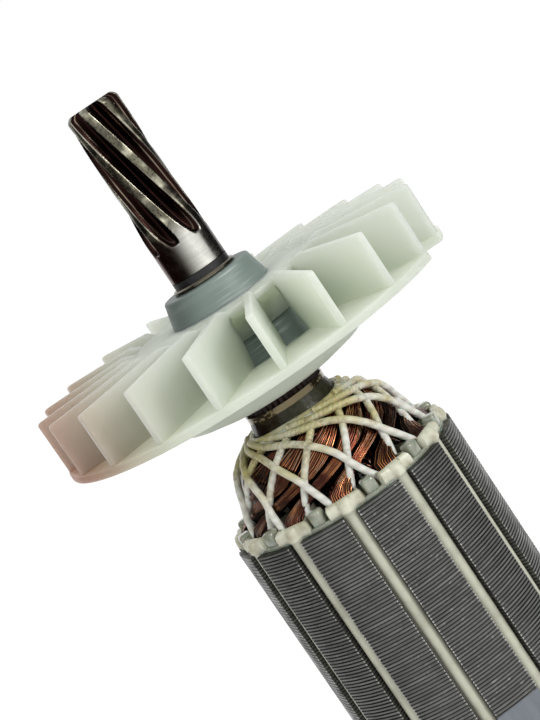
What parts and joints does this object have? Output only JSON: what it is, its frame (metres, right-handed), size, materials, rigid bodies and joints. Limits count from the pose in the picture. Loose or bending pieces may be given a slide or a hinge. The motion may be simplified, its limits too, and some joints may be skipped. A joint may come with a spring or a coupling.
{
  "type": "motor armature",
  "caption": "Wound armature of a small universal motor: toothed drive shaft, blower fan, laminated core with laced copper coils, and a commutator with its rear bearing journal.",
  "frame": {"origin": "on the shaft axis at the lower end of the front bearing journal, where the ring groove begins", "axes": "+Z along the shaft axis towards the pinion, -Y towards the side the part was drawn from, +X to the right of that view"},
  "size_m": [0.0606, 0.0606, 0.1527],
  "materials": {
    "shaft_steel": "turned, oiled and darkened towards the teeth",
    "seal_rubber": "satin",
    "washer_steel": "shiny",
    "collar_plastic": "fine turned lines",
    "fan_nylon": "translucent, milky",
    "dark_steel": "varnished",
    "ring_brass": "dull",
    "sleeve_resin": "varnished",
    "lamination_steel": "edges of thin sheets, satin",
    "plate_resin": "translucent, varnished",
    "liner_paper": "varnished",
    "copper_wire": "enamelled wire, varnished",
    "wedge_card": "smooth, varnished",
    "lacing_cord": "braided",
    "hub_resin": "moulded",
    "bar_copper": "turned"
  },
  "bodies": {
    "root": {"shaft": "shaft_steel", "seal_ring": "seal_rubber", "retaining_washer": "washer_steel", "fan_collar": "collar_plastic", "fan": "fan_nylon", "knurled_spacer": "dark_steel", "brass_ring": "ring_brass", "front_sleeve": "sleeve_resin", "core": "lamination_steel", "front_end_plate": "plate_resin", "rear_end_plate": "plate_resin", "slot_liner_01": "liner_paper", "slot_liner_02": "liner_paper", "slot_liner_03": "liner_paper", "slot_liner_04": "liner_paper", "slot_liner_05": "liner_paper", "slot_liner_06": "liner_paper", "slot_liner_07": "liner_paper", "slot_liner_08": "liner_paper", "slot_liner_09": "liner_paper", "slot_liner_10": "liner_paper", "slot_liner_11": "liner_paper", "slot_liner_12": "liner_paper", "coil_01": "copper_wire", "coil_02": "copper_wire", "coil_03": "copper_wire", "coil_04": "copper_wire", "coil_05": "copper_wire", "coil_06": "copper_wire", "coil_07": "copper_wire", "coil_08": "copper_wire", "coil_09": "copper_wire", "coil_10": "copper_wire", "coil_11": "copper_wire", "coil_12": "copper_wire", "slot_wedge_01": "wedge_card", "slot_wedge_02": "wedge_card", "slot_wedge_03": "wedge_card", "slot_wedge_04": "wedge_card", "slot_wedge_05": "wedge_card", "slot_wedge_06": "wedge_card", "slot_wedge_07": "wedge_card", "slot_wedge_08": "wedge_card", "slot_wedge_09": "wedge_card", "slot_wedge_10": "wedge_card", "slot_wedge_11": "wedge_card", "slot_wedge_12": "wedge_card", "front_lacing": "lacing_cord", "rear_lacing": "lacing_cord", "rear_sleeve": "sleeve_resin", "commutator_hub": "hub_resin", "commutator_bars": "bar_copper"}
  },
  "joints": []
}
